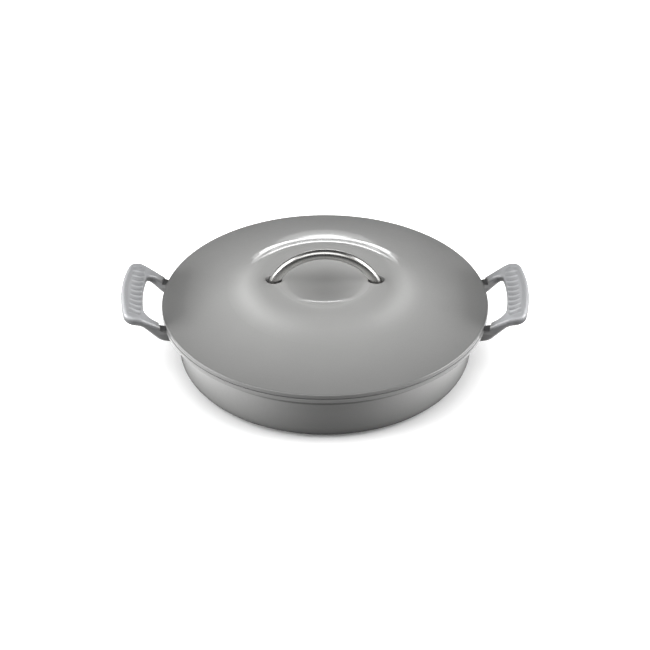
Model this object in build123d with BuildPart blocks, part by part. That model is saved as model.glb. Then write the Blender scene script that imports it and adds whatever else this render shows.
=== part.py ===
"""A round cast-iron braiser: a shallow pan with two upswept loop handles, and a lid with a rod handle.

Millimetres, +Z up. The origin is the centre of the pan's base on the floor, +X runs through the right-hand
side handle, and the front of the braiser looks along -Y.
"""
import os
from math import acos, atan, cos, degrees, radians, sin, sqrt, tan

from build123d import *

os.makedirs("parts", exist_ok=True)

# Pan
rim_radius = 150.0
pan_height = 56.0
rim_height = 4.6
rim_overhang = 10.5
rim_edge_radius = 1.2
rim_root_radius = 6.0
wall_thickness = 4.2
wall_draft = 7.0
floor_thickness = 4.8
foot_corner_radius = 14.0
floor_corner_radius = 11.0
foot_ring_width = 9.0
foot_recess_depth = 0.8

# Side handles, cast in one with the pan
handle_projection = 37.0
handle_half_span = 48.5
handle_bow = 6.6
handle_corner_radius = 10.0
arm_taper = 9.5
grip_width = 20.0
arm_width = 15.0
window_bow = 3.0
window_corner_radius = 8.5
outer_root_radius = 13.0
inner_root_radius = 8.0
handle_edge_radius = 3.4
handle_under_edge_radius = 2.6
handle_lid_gap = 5.5

# Side handles seen from the front: how high each bend stands over the face that the lid rests on
arm_top_rise = 3.4
knee_top_rise = 15.4
grip_slope = 0.21
knee_under_rise = 6.2
arm_under_drop = 11.2
root_under_drop = 15.5
knee_setback = 18.0
knee_under_setback = 20.5
knee_radius = 16.0
root_bend_radius = 14.0

# Scooped grip with its fan of ribs
grip_rim_width = 6.3
scoop_width = 13.0
scoop_end_inset = 9.8
scoop_depth = 1.2
scoop_corner_radius = 5.0
groove_count = 10
groove_width = 6.2
groove_depth = 0.9
groove_ring_radius = 8.0
groove_setback = 1.3
groove_end_inset = 2.8
groove_fan_radius = 130.0

# Lid
lid_wall = 4.0
lid_edge_height = 4.4
crown_height = 27.8
bowl_radius = 42.3
bowl_depth = 7.6
bowl_lip_radius = 6.0
shoulder_radius = 36.0
shoulder_angle = 30.0
flare_root_radius = 60.0
flare_root_angle = 15.0
lid_edge_radius = 1.4
ridge_width = 4.0
ridge_height = 3.6
ridge_clearance = 1.2
ridge_edge_radius = 1.0
ridge_root_radius = 3.0

# Wells in the crown, and the bosses under them
well_offset = 4.7
well_radius = 7.2
well_depth = 8.0
well_edge_radius = 0.7
crown_land = 2.8
boss_wall = 3.6
boss_floor = 4.0

# Lid handle: a bent rod
rod_radius = 4.7
arch_height = 27.2
rod_bend_radius = 11.0
rod_foot_straight = 2.7

# Screws and washers under the lid
screw_radius = 2.5
screw_engagement = 6.8
tapped_depth = 8.0
thread_clearance = 0.05
screw_hole_clearance = 0.3
screw_head_radius = 4.75
screw_head_height = 2.75
screw_head_crown = 0.9
socket_across_flats = 3.0
socket_depth = 1.6
washer_radius = 7.5
washer_thickness = 1.2

# Cuts run past the faces that they open
overrun = 5.0

# Worked out from the sizes above
rim_underside = pan_height - rim_height
wall_top_radius = rim_radius - rim_overhang
wall_slope = tan(radians(wall_draft))
wall_run = wall_thickness / cos(radians(wall_draft))
foot_radius = wall_top_radius - rim_underside * wall_slope
mouth_radius = wall_top_radius + rim_height * wall_slope - wall_run
floor_radius = mouth_radius - (pan_height - floor_thickness) * wall_slope
recess_radius = foot_radius - foot_corner_radius - foot_ring_width


def soften(corners):
    """Rounds the sketch corners nearest to the given points, each with its own radius."""
    for point, radius in corners:
        fillet(vertices().sort_by_distance(point)[0], radius)


# The loop handle seen from above: its outline and window, joined to a disc inside the pan's wall
root_disc_radius = wall_top_radius - wall_thickness / 2
handle_tip = rim_radius + handle_projection
grip_inner = handle_tip - grip_width
corner_x = handle_tip - handle_bow
window_half_span = handle_half_span - arm_width
window_corner_x = grip_inner - window_bow
knee_x = handle_tip - knee_setback
knee_under_x = handle_tip - knee_under_setback
band_root = root_disc_radius - wall_thickness
band_tip = handle_tip + overrun
inner_half_span = handle_half_span - corner_x * tan(radians(arm_taper))

with BuildSketch() as handle_plan:
    with BuildLine():
        outer_edge = ThreePointArc(
            (corner_x, -handle_half_span), (handle_tip, 0), (corner_x, handle_half_span)
        )
        Polyline(outer_edge @ 1, (0, inner_half_span), (0, -inner_half_span), outer_edge @ 0)
    make_face()
    soften(((corner_x, side * handle_half_span), handle_corner_radius) for side in (-1, 1))
    with BuildLine():
        window_edge = ThreePointArc(
            (window_corner_x, -window_half_span), (grip_inner, 0), (window_corner_x, window_half_span)
        )
        Polyline(window_edge @ 1, (0, window_half_span), (0, -window_half_span), window_edge @ 0)
    make_face(mode=Mode.SUBTRACT)
    soften(((window_corner_x, side * window_half_span), window_corner_radius) for side in (-1, 1))
    Circle(root_disc_radius)
    soften(((root_disc_radius, side * handle_half_span), outer_root_radius) for side in (-1, 1))
    soften(((root_disc_radius, side * window_half_span), inner_root_radius) for side in (-1, 1))

# Faces that lean less than this from level count as the handle's top and underside
skin_tilt = cos(radians(60))


def borders_window(edge):
    """True for an edge of the handle that runs round its window, not round its outside."""
    middle = edge.center()
    return abs(middle.Y) < window_half_span + arm_width / 4 and middle.X < handle_tip - grip_width / 2


# The same handle seen from the front: a band that climbs out of the wall and levels off at the grip
arm_top_slope = (knee_top_rise - arm_top_rise) / (knee_x - rim_radius)

with BuildPart() as handle_blank:
    with BuildSketch(Plane.XZ) as handle_side:
        with BuildLine():
            Polyline(
                (band_root, pan_height + arm_top_rise - arm_top_slope * (rim_radius - band_root)),
                (knee_x, pan_height + knee_top_rise),
                (band_tip, pan_height + knee_top_rise + grip_slope * (band_tip - knee_x)),
                (band_tip, pan_height + knee_under_rise + grip_slope * (band_tip - knee_under_x)),
                (knee_under_x, pan_height + knee_under_rise),
                (rim_radius, pan_height - arm_under_drop),
                (band_root, pan_height - root_under_drop),
                close=True,
            )
        make_face()
        soften(
            (
                ((knee_x, pan_height + knee_top_rise), knee_radius + handle_edge_radius),
                ((knee_under_x, pan_height + knee_under_rise), knee_radius),
                ((rim_radius, pan_height - arm_under_drop), root_bend_radius),
            )
        )
    extrude(amount=rim_radius, both=True)
    with BuildSketch():
        add(handle_plan.sketch)
    extrude(amount=2 * pan_height, mode=Mode.INTERSECT)
    for up, edge_radius in ((1, handle_edge_radius), (-1, handle_under_edge_radius)):
        for window_side in (False, True):
            skin = faces().filter_by(lambda face: face.normal_at().Z * up > skin_tilt)
            fillet(
                skin.edges()
                .filter_by(Axis.Y, reverse=True)
                .filter_by(lambda edge: edge.center().X > wall_top_radius)
                .filter_by(lambda edge: borders_window(edge) == window_side),
                edge_radius,
            )


# The grip's scoop follows the bow of its outer edge: a ring of round section, hung over the sloping grip,
# dips into it. A row of small rings dips in across the scoop. They fan out inwards, with ribs between them.
grip_tilt = atan(grip_slope)
bow_radius = (handle_half_span**2 + handle_bow**2) / (2 * handle_bow)
bow_centre_x = handle_tip - bow_radius
scoop_x = handle_tip - grip_rim_width - scoop_width / 2
scoop_z = pan_height + knee_top_rise + grip_slope * (scoop_x - knee_x)
scoop_radius = (scoop_width**2 / 4 + scoop_depth**2) / (2 * scoop_depth)
scoop_lift = scoop_radius - scoop_depth
scoop_half_span = handle_half_span - scoop_end_inset
groove_radius = (groove_width**2 / 4 + groove_depth**2) / (2 * groove_depth)
groove_lift = groove_ring_radius + groove_radius - groove_depth - scoop_depth
groove_row_radius = bow_radius - (handle_tip - scoop_x) - groove_setback - groove_lift * sin(grip_tilt)
groove_centre_z = scoop_z - groove_setback * grip_slope + groove_lift * cos(grip_tilt)
groove_half_span = scoop_half_span - groove_end_inset

with BuildPart() as scoop_cutter:
    with BuildSketch(Plane.XZ):
        with Locations((scoop_x - scoop_lift * sin(grip_tilt), scoop_z + scoop_lift * cos(grip_tilt))):
            Circle(scoop_radius)
    revolve(axis=Axis((bow_centre_x, 0, 0), (0, 0, 1)))
    with BuildSketch():
        with Locations((scoop_x, 0)):
            RectangleRounded(scoop_width + 2 * grip_rim_width, 2 * scoop_half_span, scoop_corner_radius)
    extrude(amount=2 * pan_height, mode=Mode.INTERSECT)

with BuildPart() as handle:
    add(handle_blank.part)
    add(scoop_cutter.part, mode=Mode.SUBTRACT)
    for groove in range(groove_count):
        groove_y = groove_half_span * (2 * groove / (groove_count - 1) - 1)
        groove_centre_x = bow_centre_x + sqrt(groove_row_radius**2 - groove_y**2)
        fan_turn = -degrees(groove_y / groove_fan_radius)
        with Locations(Location((groove_centre_x, groove_y, groove_centre_z), (0, 0, fan_turn))):
            Torus(groove_ring_radius, groove_radius, rotation=(90, 0, 0), mode=Mode.SUBTRACT)

# The pan: one casting with both handles, opened by its cavity
with BuildPart() as pan:
    with BuildSketch(Plane.XZ):
        with BuildLine():
            Polyline(
                (0, foot_recess_depth),
                (recess_radius, foot_recess_depth),
                (recess_radius, 0),
                (foot_radius, 0),
                (wall_top_radius, rim_underside),
                (rim_radius, rim_underside),
                (rim_radius, pan_height),
                (0, pan_height),
                close=True,
            )
        make_face()
        soften(
            (
                ((foot_radius, 0), foot_corner_radius),
                ((wall_top_radius, rim_underside), rim_root_radius),
                ((rim_radius, rim_underside), rim_edge_radius),
                ((rim_radius, pan_height), rim_edge_radius),
            )
        )
    revolve(axis=Axis.Z)
    add(handle.part)
    mirror(handle.part, about=Plane.YZ)
    with BuildSketch(Plane.XY.offset(pan_height)):
        Circle(rim_radius + handle_lid_gap)
    extrude(amount=pan_height, mode=Mode.SUBTRACT)
    with BuildSketch(Plane.XZ):
        with BuildLine():
            Polyline(
                (0, floor_thickness),
                (floor_radius, floor_thickness),
                (mouth_radius + overrun * wall_slope, pan_height + overrun),
                (0, pan_height + overrun),
                close=True,
            )
        make_face()
        soften([((floor_radius, floor_thickness), floor_corner_radius)])
    revolve(axis=Axis.Z, mode=Mode.SUBTRACT)
    mouth_edge = edges().filter_by(GeomType.CIRCLE).sort_by(lambda edge: abs(edge.radius - mouth_radius))[0]
    fillet(mouth_edge, rim_edge_radius)
pan.part.label = "pan"
export_step(pan.part, "parts/pan.step")

# The lid: one wall carried over bowl, crown, shoulder and flare, with a thick edge and a locating ridge
crown_z = pan_height + crown_height
lid_edge_z = pan_height + lid_edge_height
well_x = bowl_radius + well_offset
well_floor_z = crown_z - well_depth
boss_base_z = well_floor_z - boss_floor
boss_radius = well_radius + boss_wall
ridge_radius = mouth_radius - ridge_clearance
ridge_inner = ridge_radius - ridge_width
ridge_base_z = pan_height - ridge_height
feet = [(-well_x, 0), (well_x, 0)]
shoulder_start = well_x + well_radius + crown_land
bowl_sphere_radius = (bowl_radius**2 + bowl_depth**2) / (2 * bowl_depth)

with BuildPart() as lid:
    with BuildSketch(Plane.XZ):
        with BuildLine():
            bowl = RadiusArc((0, crown_z - bowl_depth), (bowl_radius, crown_z), -bowl_sphere_radius)
            crown = Line(bowl @ 1, (shoulder_start, crown_z))
            shoulder = JernArc(crown @ 1, crown % 1, shoulder_radius, -shoulder_angle)
            flare_root = JernArc(shoulder @ 1, shoulder % 1, flare_root_radius, flare_root_angle)
            flare = TangentArc(flare_root @ 1, (rim_radius, lid_edge_z), tangent=flare_root % 1)
            offset(amount=lid_wall, side=Side.RIGHT)
        make_face()
        soften([((bowl_radius, crown_z), bowl_lip_radius)])
        with BuildLine():
            Polyline(
                (rim_radius, lid_edge_z),
                (rim_radius, pan_height),
                (ridge_radius, pan_height),
                (ridge_radius, ridge_base_z),
                (ridge_inner, ridge_base_z),
                (ridge_inner, lid_edge_z),
                close=True,
            )
        make_face()
        soften(
            (
                ((rim_radius, lid_edge_z), lid_edge_radius),
                ((rim_radius, pan_height), lid_edge_radius),
                ((ridge_radius, ridge_base_z), ridge_edge_radius),
                ((ridge_inner, ridge_base_z), ridge_edge_radius),
                ((ridge_inner, lid_edge_z), ridge_root_radius),
            )
        )
    revolve(axis=Axis.Z)
    with BuildSketch(Plane.XY.offset(boss_base_z)):
        with Locations(feet):
            Circle(boss_radius)
    extrude(amount=well_depth)
    with BuildSketch(Plane.XY.offset(well_floor_z)):
        with Locations(feet):
            Circle(well_radius)
    extrude(amount=crown_height, mode=Mode.SUBTRACT)
    fillet(
        edges(Select.LAST)
        .filter_by(Axis.Z, reverse=True)
        .filter_by_position(Axis.Z, crown_z - well_depth / 2, crown_z),
        well_edge_radius,
    )
    with BuildSketch(Plane.XY.offset(boss_base_z)):
        with Locations(feet):
            Circle(screw_radius + screw_hole_clearance)
    extrude(amount=crown_height, mode=Mode.SUBTRACT)
lid.part.label = "lid"
export_step(lid.part, "parts/lid.step")

# The lid handle: a rod bent to an arch, turned straight down at its feet, which stand in the wells
bend_z = well_floor_z + rod_foot_straight
arch_top_z = crown_z + arch_height
arch_span = well_x - rod_bend_radius
arch_rise = arch_top_z - bend_z - rod_bend_radius
arch_radius = rod_bend_radius + (arch_span**2 + arch_rise**2) / (2 * arch_rise)
arch_angle = degrees(acos(1 - arch_rise / (arch_radius - rod_bend_radius)))

with BuildPart() as lid_handle:
    with BuildLine(Plane.XZ) as rod_path:
        foot = Line((-well_x, well_floor_z), (-well_x, bend_z))
        bend = JernArc(foot @ 1, foot % 1, rod_bend_radius, arch_angle - 90)
        arch = JernArc(bend @ 1, bend % 1, arch_radius, -2 * arch_angle)
        far_bend = JernArc(arch @ 1, arch % 1, rod_bend_radius, arch_angle - 90)
        Line(far_bend @ 1, (well_x, well_floor_z))
    with BuildSketch(Plane.XY.offset(well_floor_z)):
        with Locations((-well_x, 0)):
            Circle(rod_radius)
    sweep()
    with BuildSketch(Plane.XY.offset(well_floor_z)):
        with Locations(feet):
            Circle(screw_radius + thread_clearance)
    extrude(amount=tapped_depth, mode=Mode.SUBTRACT)
lid_handle.part.label = "lid_handle"
export_step(lid_handle.part, "parts/lid_handle.step")

# The washers and the button-head screws that hold the rod's feet from under the lid
washer_base_z = boss_base_z - washer_thickness

with BuildPart() as handle_washers:
    with BuildSketch(Plane.XY.offset(washer_base_z)):
        with Locations(feet):
            Circle(washer_radius)
            Circle(screw_radius + screw_hole_clearance, mode=Mode.SUBTRACT)
    extrude(amount=washer_thickness)
handle_washers.part.label = "handle_washers"
export_step(handle_washers.part, "parts/handle_washers.step")

screw_tip_z = well_floor_z + screw_engagement
head_rim_z = washer_base_z - screw_head_height + screw_head_crown
head_base_z = washer_base_z - screw_head_height
head_crown_radius = (screw_head_radius**2 + screw_head_crown**2) / (2 * screw_head_crown)

with BuildPart() as screw:
    with BuildSketch(Plane.XZ):
        with BuildLine():
            crown_arc = RadiusArc((0, head_base_z), (screw_head_radius, head_rim_z), -head_crown_radius)
            Polyline(
                crown_arc @ 1,
                (screw_head_radius, washer_base_z),
                (screw_radius, washer_base_z),
                (screw_radius, screw_tip_z),
                (0, screw_tip_z),
                crown_arc @ 0,
            )
        make_face()
    revolve(axis=Axis.Z)
    with BuildSketch(Plane.XY.offset(head_base_z)):
        RegularPolygon(socket_across_flats / 2, 6, major_radius=False)
    extrude(amount=socket_depth, mode=Mode.SUBTRACT)

with BuildPart() as handle_screws:
    with Locations(feet):
        add(screw.part)
handle_screws.part.label = "handle_screws"
export_step(handle_screws.part, "parts/handle_screws.step")
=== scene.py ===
"""Looks of the braiser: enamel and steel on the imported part, a pale studio floor, soft lamps and the camera.

Metres, in the part's own frame. The part stands on the floor with +Z up, and its front looks along -Y.
A radius or reach is measured from the upright line through the part's centre, and a height from the floor.
A facing says how far a face looks up, from -1 to 1. A pair of these says where a thing starts and is full.
"""

import math
from functools import cached_property, partial, reduce

import bpy
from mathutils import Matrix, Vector


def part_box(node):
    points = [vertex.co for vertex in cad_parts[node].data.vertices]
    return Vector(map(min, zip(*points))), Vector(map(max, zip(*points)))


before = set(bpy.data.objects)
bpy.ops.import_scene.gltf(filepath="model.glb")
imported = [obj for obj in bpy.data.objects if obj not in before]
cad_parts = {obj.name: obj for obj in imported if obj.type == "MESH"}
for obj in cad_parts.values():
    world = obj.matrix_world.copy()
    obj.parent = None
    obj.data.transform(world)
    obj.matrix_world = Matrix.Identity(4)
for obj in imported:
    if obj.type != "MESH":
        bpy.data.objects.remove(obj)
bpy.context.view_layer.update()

# From the part: the radius of the lid's edge, and the top of the pan's rim, which the lid's ridge dips below
RIDGE_DEPTH = 0.0036
lid_low, lid_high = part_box("lid")
rim_radius = lid_high.x
rim_top = lid_low.z + RIDGE_DEPTH

# Half the width over which one glaze passes into the next
BLUR = 0.0002

# The pan's pale lining: its edge at floor level, its flare with height, its floor, and the faces it takes
LINING_RADIUS = 0.1311
LINING_FLARE = 0.1228
LINING_FLOOR = 0.0028
LINING_FACINGS = -0.06, 0.02

# The pan's dark matte land, which the lid rests on, and its foot ring. Past the lid's edge the land runs out
# to the arms, and its dark there is partly matte enamel and partly painted shade
LAND_INNER_RADIUS = 0.1366
land_outer_radius = rim_radius + 0.0055
land_heights = rim_top - 0.0007, rim_top - 0.0005
FOOT_HEIGHTS = 0.0004, 0.0

# The lid's pale lining, and outside it the dark matte seat
LID_LINING_RADIUS = 0.1335
LID_LINING_FACINGS = -0.25, -0.45
LID_SEAT_FACINGS = -0.6, -0.9
lid_seat_heights = rim_top + 0.0007, rim_top

# The satin ring in the lip of the lid's dish, and how much of the clear gloss is left on it
DISH_LIP_INNER, DISH_LIP_OUTER = 0.035, 0.045
DISH_LIP_BLUR = 0.002
SATIN_GLOSS = 0.11

# The ribs across each grip: the middle of the row, half its width and length, the pitch and the fan's reach
rib_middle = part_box("pan")[1].x - 0.0141
RIB_HALF_WIDTH = 0.0062
RIB_HALF_LENGTH = 0.0395
RIB_BLUR = 0.002
RIB_PITCH = 0.00798
RIB_FAN = 0.130
# Between which heights of the wave the tone passes from painted shade to painted highlight
RIB_WAVE = 0.1, 1.0

# How light the pan's grey is made in each place by painted light and shade, as a share of its plain tone, and
# where it gets there
# Painted shade: the wall is darker towards the foot
WALL_HEIGHTS = 0.006, 0.050
FOOT_SHADE_TONE, WALL_TONE = 0.42, 0.88
# A painted contact shadow along the foot
CONTACT_SHADOW_HEIGHTS = 0.001, 0.007
CONTACT_SHADOW_TONE = 0.12
# Painted shade under the lip of the pan's rim, and on the lip's own face
under_lip_shade_heights = rim_top - 0.0150, rim_top - 0.0130
lip_heights = rim_top - 0.0046, rim_top - 0.0034
UNDER_LIP_SHADE_TONE, LIP_SHADE_TONE = 0.42, 0.74
handle_radii = rim_radius + 0.001, rim_radius + 0.012
# Painted shade on the faces of the arms that look down, and painted light on the handles' upper faces
ARM_FACINGS = -0.10, 0.75
UNDER_ARM_SHADE_TONE, HANDLE_TOP_LIGHT_TONE = 0.364, 1.3
# Painted shade between the ribs and painted highlights on their crests
RIB_SHADE_TONE, RIB_HIGHLIGHT_TONE = 0.88, 1.35

# The same for the lid: lighter over the crown and darker towards the edge, with painted shade on the rounded
# rim
CROWN_RADII = 0.055, 0.085
LID_CROWN_TONE = 1.15
FLARE_RADII = 0.085, 0.145
LID_EDGE_TONE = 0.70
# Painted shade on the lid's rounded rim
lid_rim_radii = rim_radius - 0.0025, rim_radius - 0.0005
LID_RIM_SHADE_TONE = 0.80

# Colours, linear
WHITE = (1, 1, 1, 1)
ENAMEL_GREY = (0.318, 0.318, 0.313, 1)
GRIP_GREY = (0.300, 0.304, 0.313, 1)
LINING_SAND = (0.62, 0.56, 0.46, 1)
# Dark matte enamel, which on the pan's land past the lid's edge is also painted shade
SEAT_BLACK_AND_SHADE = (0.13, 0.13, 0.13, 1)
STEEL_LIGHT = (0.62, 0.615, 0.60)
FLOOR_WHITE = (0.85, 0.85, 0.85, 1)
FLOOR_BOUNCE = (0.20, 0.20, 0.20, 1)

# The grain of the enamel: waves to the metre, how far each swings the tone or roughness, and depths of bump
CLOUD_SCALE, CLOUD_SWING = 14, 0.03
SPECK_SCALE, SPECK_SWING = 1100, 0.025
RIPPLE_SCALE, RIPPLE_SWING = 260, 0.02
RIPPLE_DEPTH, GLOSS_RIPPLE_DEPTH = 0.00003, 0.000003
ENAMEL_ROUGHNESS, GLOSS_ROUGHNESS = 0.50, 0.06

# The grain of the steel: its cloud, and its polishing marks
SHEEN_SCALE, SHEEN_TONE, SHEEN_SWING = 120, 0.995, 0.035
MARK_SCALE, MARK_SWING, MARK_DEPTH = 900, 0.02, 0.0000015
ROD_ROUGHNESS, SCREW_ROUGHNESS, WASHER_ROUGHNESS = 0.29, 0.25, 0.30

# A noise keeps mostly between these two values
NOISE_RANGE = 0.3, 0.7

# The floor: half its width, and where the part's shadow passes into plain white
FLOOR_HALF = 6.0
SHADOW_RADII = 0.120, 0.206

# What the gloss sees of the floor: a bright lane far behind the part, and pale ground at its two sides.
# The lane's spread is how far across it a point lies, as a share of how far back
LANE_BACK = 0.52, 0.84
LANE_SPREAD = 0.34, 0.15
LANE_NEAREST = 0.01
LANE_GLOW = 3.0
BESIDE_RISE = 0.135, 0.18
BESIDE_FALL = 0.18, 0.23
BESIDE_GLOW, BESIDE_REST = 2.0, 0.15

# Camera: the photograph's viewing angle, distance and framing
CAMERA_ELEVATION = 34.2
CAMERA_DISTANCE = 2.5
CAMERA_AIM = Vector((0, 0, 0.0333))
CAMERA_LENS = 149.6
CAMERA_CLIP = 0.1, 50
SENSOR_WIDTH = 36.0


class Nodes:
    """The node tree of a material or a world, with short calls for the few kinds of node used here."""

    def __init__(self, owner, output_kind):
        owner.use_nodes = True
        self.tree = owner.node_tree
        self.tree.nodes.clear()
        self.output = self.add(output_kind)

    def add(self, kind, **inputs):
        """A new node, with inputs given by name."""
        node = self.tree.nodes.new(kind)
        for name, value in inputs.items():
            self.put(node.inputs[name.replace("_", " ")], value)
        return node

    def put(self, socket, value):
        """Links the value if it comes out of another node, and otherwise types it in."""
        if isinstance(value, bpy.types.NodeSocket):
            self.tree.links.new(value, socket)
        else:
            socket.default_value = value

    def fill(self, node, *values):
        """Gives a node's inputs their values in order, and returns its output."""
        in_use = [socket for socket in node.inputs if socket.enabled]
        for socket, value in zip(in_use, values):
            self.put(socket, value)
        return next(socket for socket in node.outputs if socket.enabled)

    def surface(self, shader):
        """Makes the shader the one that shows."""
        self.put(self.output.inputs["Surface"], shader)

    def math(self, kind, *values):
        node = self.add("ShaderNodeMath")
        node.operation = kind
        return self.fill(node, *values)

    def product(self, *values):
        return reduce(partial(self.math, "MULTIPLY"), values)

    def total(self, *values):
        return reduce(partial(self.math, "ADD"), values)

    def vector(self, kind, *values):
        node = self.add("ShaderNodeVectorMath")
        node.operation = kind
        return self.fill(node, *values)

    def parts(self, vector):
        """The X, Y and Z of a vector."""
        return self.add("ShaderNodeSeparateXYZ", Vector=vector).outputs

    def rise(self, value, start, full):
        """0 before start, 1 beyond full, with a smooth rise between them."""
        node = self.add("ShaderNodeMapRange")
        node.interpolation_type = "SMOOTHSTEP"
        return self.fill(node, value, start, full, 0.0, 1.0)

    def above(self, value, edge, blur=BLUR):
        """1 above the edge and 0 below it."""
        return self.rise(value, edge - blur, edge + blur)

    def below(self, value, edge, blur=BLUR):
        """1 below the edge and 0 above it."""
        return self.rise(value, edge + blur, edge - blur)

    def remap(self, value, start, end, first, last):
        """Goes evenly from first to last while the value goes from start to end, and no further."""
        return self.fill(self.add("ShaderNodeMapRange"), value, start, end, first, last)

    def mix(self, share, first, second, kind="RGBA"):
        """The first where the share is 0, the second where it is 1."""
        node = self.add("ShaderNodeMix")
        node.data_type = kind
        return self.fill(node, share, first, second)

    def tone(self, colour, amount):
        """The colour made lighter or darker by a number near 1."""
        return self.vector("SCALE", colour, amount)


class Paint(Nodes):
    """A material, with what it asks of each point of its surface while the part is at rest."""

    def __init__(self, name):
        self.material = bpy.data.materials.new(name)
        super().__init__(self.material, "ShaderNodeOutputMaterial")

    @cached_property
    def spot(self):
        """Where the point is. A node of the part sits at the origin, so Object is its place at rest."""
        return self.add("ShaderNodeTexCoord").outputs

    @cached_property
    def axes(self):
        """The point's X, Y and Z."""
        return self.parts(self.spot["Object"])

    @cached_property
    def height(self):
        """How high the point is over the floor."""
        return self.axes["Z"]

    @cached_property
    def reach(self):
        """How far the point is from the upright line through the part's centre."""
        return self.vector("LENGTH", self.vector("MULTIPLY", self.spot["Object"], (1, 1, 0)))

    @cached_property
    def facing(self):
        """How far the face there looks up."""
        return self.parts(self.spot["Normal"])["Z"]

    def noise(self, scale, detail=2):
        """Noise with so many waves to the metre, and so many levels of finer noise on it."""
        node = self.add("ShaderNodeTexNoise", Vector=self.spot["Object"], Scale=scale, Detail=detail)
        return node.outputs["Fac"]

    def swing(self, noise, middle, amount):
        """A number near the middle, which the noise moves up and down by the amount."""
        return self.remap(noise, *NOISE_RANGE, middle - amount, middle + amount)

    def bump(self, height, distance):
        return self.add("ShaderNodeBump", Height=height, Distance=distance).outputs["Normal"]

    def shader(self, **inputs):
        self.surface(self.add("ShaderNodeBsdfPrincipled", **inputs).outputs["BSDF"])


def pan_zones(n):
    """Where the pan has its pale lining, and where its dark matte land and foot ring; past the lid's edge the
    dark land is partly painted shade.
    """
    wall = n.math("SUBTRACT", n.reach, n.product(n.height, LINING_FLARE))
    lining = n.product(n.below(wall, LINING_RADIUS), n.rise(n.facing, *LINING_FACINGS),
                       n.above(n.height, LINING_FLOOR))
    land = n.product(n.above(n.reach, LAND_INNER_RADIUS), n.below(n.reach, land_outer_radius),
                     n.rise(n.height, *land_heights))
    return lining, n.math("MAXIMUM", land, n.rise(n.height, *FOOT_HEIGHTS))


def lid_zones(n):
    """Where the lid has its pale lining, and where its dark matte seat."""
    lining = n.product(n.rise(n.facing, *LID_LINING_FACINGS), n.below(n.reach, LID_LINING_RADIUS))
    seat = n.product(n.rise(n.height, *lid_seat_heights), n.above(n.reach, LID_LINING_RADIUS),
                     n.rise(n.facing, *LID_SEAT_FACINGS))
    return lining, seat


def dish_lip(n):
    """The ring where the dish in the lid's crown turns up, in which the glaze is more satin."""
    return n.product(n.above(n.reach, DISH_LIP_INNER, DISH_LIP_BLUR),
                     n.below(n.reach, DISH_LIP_OUTER, DISH_LIP_BLUR))


def ribs(n):
    """Painted highlights on the crests of the grips' ribs, and painted shade between two of them."""
    along = n.axes["Y"]
    out = n.math("SUBTRACT", n.math("ABSOLUTE", n.axes["X"]), rib_middle)
    fan = n.math("SUBTRACT", 1.0, n.math("DIVIDE", out, RIB_FAN))
    turn = n.product(n.math("DIVIDE", along, fan), 2 * math.pi / RIB_PITCH)
    wave = n.remap(n.math("COSINE", turn), *RIB_WAVE, RIB_SHADE_TONE, RIB_HIGHLIGHT_TONE)
    inside = n.product(n.rise(n.math("ABSOLUTE", out), RIB_HALF_WIDTH, RIB_HALF_WIDTH - RIB_BLUR),
                       n.rise(n.math("ABSOLUTE", along), RIB_HALF_LENGTH, RIB_HALF_LENGTH - RIB_BLUR))
    return n.mix(inside, 1.0, wave, "FLOAT")


def pan_tone(n):
    """Painted light and shade on the pan's grey: darkest at the foot and under the lip and arms, lightest on
    top of the handles.
    """
    wall = n.remap(n.height, *WALL_HEIGHTS, FOOT_SHADE_TONE, WALL_TONE)
    contact_shadow = n.remap(n.height, *CONTACT_SHADOW_HEIGHTS, CONTACT_SHADOW_TONE, 1.0)
    lip = n.remap(n.height, *lip_heights, UNDER_LIP_SHADE_TONE, LIP_SHADE_TONE)
    shade_under_lip = n.mix(n.rise(n.height, *under_lip_shade_heights), 1.0, lip, "FLOAT")
    handle_light_and_shade = n.remap(n.facing, *ARM_FACINGS, UNDER_ARM_SHADE_TONE, HANDLE_TOP_LIGHT_TONE)
    return n.mix(n.rise(n.reach, *handle_radii), n.product(wall, contact_shadow, shade_under_lip),
                 n.product(ribs(n), handle_light_and_shade), "FLOAT")


def lid_tone(n):
    """The lid's tone: lighter over the crown and darker towards the edge, with painted shade on the rounded
    rim.
    """
    crown = n.remap(n.reach, *CROWN_RADII, LID_CROWN_TONE, 1.0)
    flare = n.remap(n.reach, *FLARE_RADII, 1.0, LID_EDGE_TONE)
    return n.product(crown, flare, n.remap(n.reach, *lid_rim_radii, 1.0, LID_RIM_SHADE_TONE))


def enamel(name, zones, tone_of, satin_of=None):
    """Grey glaze under a hard clear gloss, with a pale lining and a dark matte seat where the zones say, and
    the painted light and shade of tone_of.
    """
    n = Paint(name)
    lining, seat = zones(n)
    grey = n.mix(n.rise(n.reach, *handle_radii), ENAMEL_GREY, GRIP_GREY)
    # The glaze's colour carries the painted light and shade from tone_of
    glaze = n.mix(lining, n.tone(grey, tone_of(n)), LINING_SAND)
    cloud = n.swing(n.noise(CLOUD_SCALE, detail=3), 1.0, CLOUD_SWING)
    speck = n.swing(n.noise(SPECK_SCALE), 1.0, SPECK_SWING)
    ripple = n.noise(RIPPLE_SCALE)
    gloss = n.math("SUBTRACT", 1.0, seat)
    if satin_of is not None:
        gloss = n.product(gloss, n.remap(satin_of(n), 0.0, 1.0, 1.0, SATIN_GLOSS))
    n.shader(
        Base_Color=n.mix(seat, n.tone(glaze, n.product(cloud, speck)), SEAT_BLACK_AND_SHADE),
        Roughness=n.swing(ripple, ENAMEL_ROUGHNESS, RIPPLE_SWING),
        Coat_Weight=gloss,
        Coat_Roughness=GLOSS_ROUGHNESS,
        Normal=n.bump(ripple, RIPPLE_DEPTH),
        Coat_Normal=n.bump(ripple, GLOSS_RIPPLE_DEPTH),
    )
    return n.material


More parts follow.
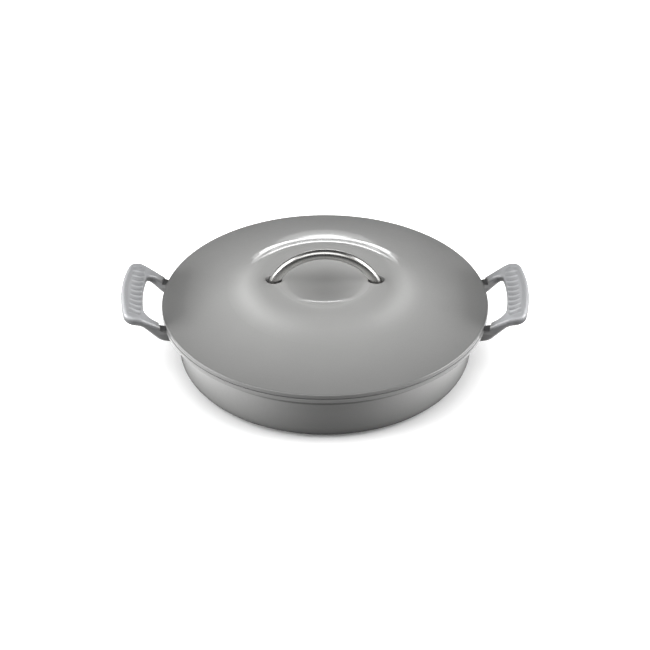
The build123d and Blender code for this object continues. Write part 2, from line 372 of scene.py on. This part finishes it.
def steel(name, roughness):
    """Satin stainless steel with fine polishing marks."""
    n = Paint(name)
    marks = n.noise(MARK_SCALE, detail=3)
    n.shader(
        Base_Color=n.tone(STEEL_LIGHT, n.swing(n.noise(SHEEN_SCALE), SHEEN_TONE, SHEEN_SWING)),
        Metallic=1.0,
        Roughness=n.swing(marks, roughness, MARK_SWING),
        Normal=n.bump(marks, MARK_DEPTH),
    )
    return n.material


def dress(node_name, material):
    """Puts the material on every slot of a node of the part."""
    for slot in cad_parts[node_name].material_slots:
        slot.material = material


def floor_paint():
    """White with the part's shadow for the camera, and for the gloss alone a bright lane and pale sides."""
    n = Paint("floor_paint")
    rays = n.add("ShaderNodeLightPath").outputs
    seen, mirrored = rays["Is Camera Ray"], rays["Is Glossy Ray"]
    across, back = n.axes["X"], n.axes["Y"]
    spread = n.math("DIVIDE", n.math("ABSOLUTE", across), n.math("MAXIMUM", back, LANE_NEAREST))
    lane = n.product(n.rise(back, *LANE_BACK), n.rise(spread, *LANE_SPREAD), LANE_GLOW)
    sideways = n.math("POWER", n.math("DIVIDE", across, n.reach), 2.0)
    beside = n.product(sideways, n.rise(n.reach, *BESIDE_RISE),
                       n.remap(n.reach, *BESIDE_FALL, BESIDE_GLOW, BESIDE_REST))
    white = n.product(seen, n.rise(n.reach, *SHADOW_RADII))
    lift = n.total(white, n.product(mirrored, n.total(lane, beside)))
    diffuse = n.add("ShaderNodeBsdfDiffuse", Color=n.mix(seen, FLOOR_BOUNCE, FLOOR_WHITE))
    glow = n.add("ShaderNodeEmission", Color=WHITE, Strength=lift)
    n.surface(n.fill(n.add("ShaderNodeAddShader"), diffuse.outputs[0], glow.outputs[0]))
    return n.material


def make_floor():
    """A wide flat floor under the part."""
    mesh = bpy.data.meshes.new("floor")
    corners = [(x * FLOOR_HALF, y * FLOOR_HALF, 0) for x, y in ((-1, -1), (1, -1), (1, 1), (-1, 1))]
    mesh.from_pydata(corners, [], [(0, 1, 2, 3)])
    mesh.materials.append(floor_paint())
    floor = bpy.data.objects.new("floor", mesh)
    bpy.context.scene.collection.objects.link(floor)


def make_world(side_glow, back_glow, front_glow, top_glow):
    """A studio that glows softly from its sides and back corners, and is much dimmer in front and above."""
    world = bpy.data.worlds.new("studio")
    n = Nodes(world, "ShaderNodeOutputWorld")
    across, back, up = n.parts(n.add("ShaderNodeTexCoord").outputs["Generated"])
    up = n.math("MAXIMUM", up, 0.0)
    behind = n.math("MAXIMUM", back, 0.0)
    sideways = n.product(across, across)
    # 4 times the product of the two squares is 1 in the middle of a back corner
    corners = n.product(sideways, behind, behind, 4.0 * back_glow)
    front = n.math("MAXIMUM", n.product(back, -front_glow), 0.0)
    strength = n.total(n.product(sideways, up, side_glow), corners, front, n.product(up, top_glow))
    n.surface(n.add("ShaderNodeBackground", Color=WHITE, Strength=strength).outputs[0])
    bpy.context.scene.world = world


def make_lamp(name, azimuth, elevation, distance, size, power, in_gloss=True):
    """A soft rectangular lamp aimed at the part. Azimuth 0 is in front, 90 on the right-hand side."""
    data = bpy.data.lights.new(name, "AREA")
    data.shape = "RECTANGLE"
    data.size, data.size_y = size
    data.energy = power
    lamp = bpy.data.objects.new(name, data)
    lamp.visible_glossy = in_gloss
    a, e = math.radians(azimuth), math.radians(elevation)
    offset = Vector((math.sin(a) * math.cos(e), -math.cos(a) * math.cos(e), math.sin(e)))
    lamp.location = CAMERA_AIM + offset * distance
    lamp.rotation_euler = offset.to_track_quat("Z", "Y").to_euler()
    bpy.context.scene.collection.objects.link(lamp)


def make_camera():
    """The camera in front of the part, looking down at it."""
    data = bpy.data.cameras.new("camera")
    data.sensor_width = SENSOR_WIDTH
    data.lens = CAMERA_LENS
    data.clip_start, data.clip_end = CAMERA_CLIP
    camera = bpy.data.objects.new("camera", data)
    e = math.radians(CAMERA_ELEVATION)
    offset = Vector((0, -math.cos(e), math.sin(e)))
    camera.location = CAMERA_AIM + offset * CAMERA_DISTANCE
    camera.rotation_euler = offset.to_track_quat("Z", "Y").to_euler()
    bpy.context.scene.collection.objects.link(camera)
    bpy.context.scene.camera = camera


dress("pan", enamel("pan_enamel_glaze", pan_zones, pan_tone))
dress("lid", enamel("lid_enamel_glaze", lid_zones, lid_tone, dish_lip))
dress("lid_handle", steel("rod_satin_steel", ROD_ROUGHNESS))
dress("handle_screws", steel("screw_turned_steel", SCREW_ROUGHNESS))
dress("handle_washers", steel("washer_brushed_steel", WASHER_ROUGHNESS))

make_floor()
make_world(side_glow=0.12, back_glow=0.20, front_glow=0.004, top_glow=0.03)
make_lamp("left", azimuth=-94, elevation=25, distance=2.0, size=(1.6, 1.3), power=28)
make_lamp("right", azimuth=94, elevation=25, distance=2.0, size=(1.6, 1.3), power=32)
make_lamp("left_low", azimuth=-79, elevation=7, distance=1.8, size=(1.2, 0.3), power=50, in_gloss=False)
make_lamp("right_low", azimuth=83, elevation=7, distance=1.8, size=(1.2, 0.3), power=36, in_gloss=False)
make_lamp("key", azimuth=-8, elevation=64, distance=1.6, size=(2.2, 0.8), power=13.5)
make_lamp("back_panel", azimuth=180, elevation=2.2, distance=2.5, size=(0.98, 0.215), power=2.3)
make_lamp("back_haze", azimuth=180, elevation=3.2, distance=2.5, size=(1.2, 0.34), power=1.1)
make_camera()

bpy.context.scene.view_settings.view_transform = "Standard"
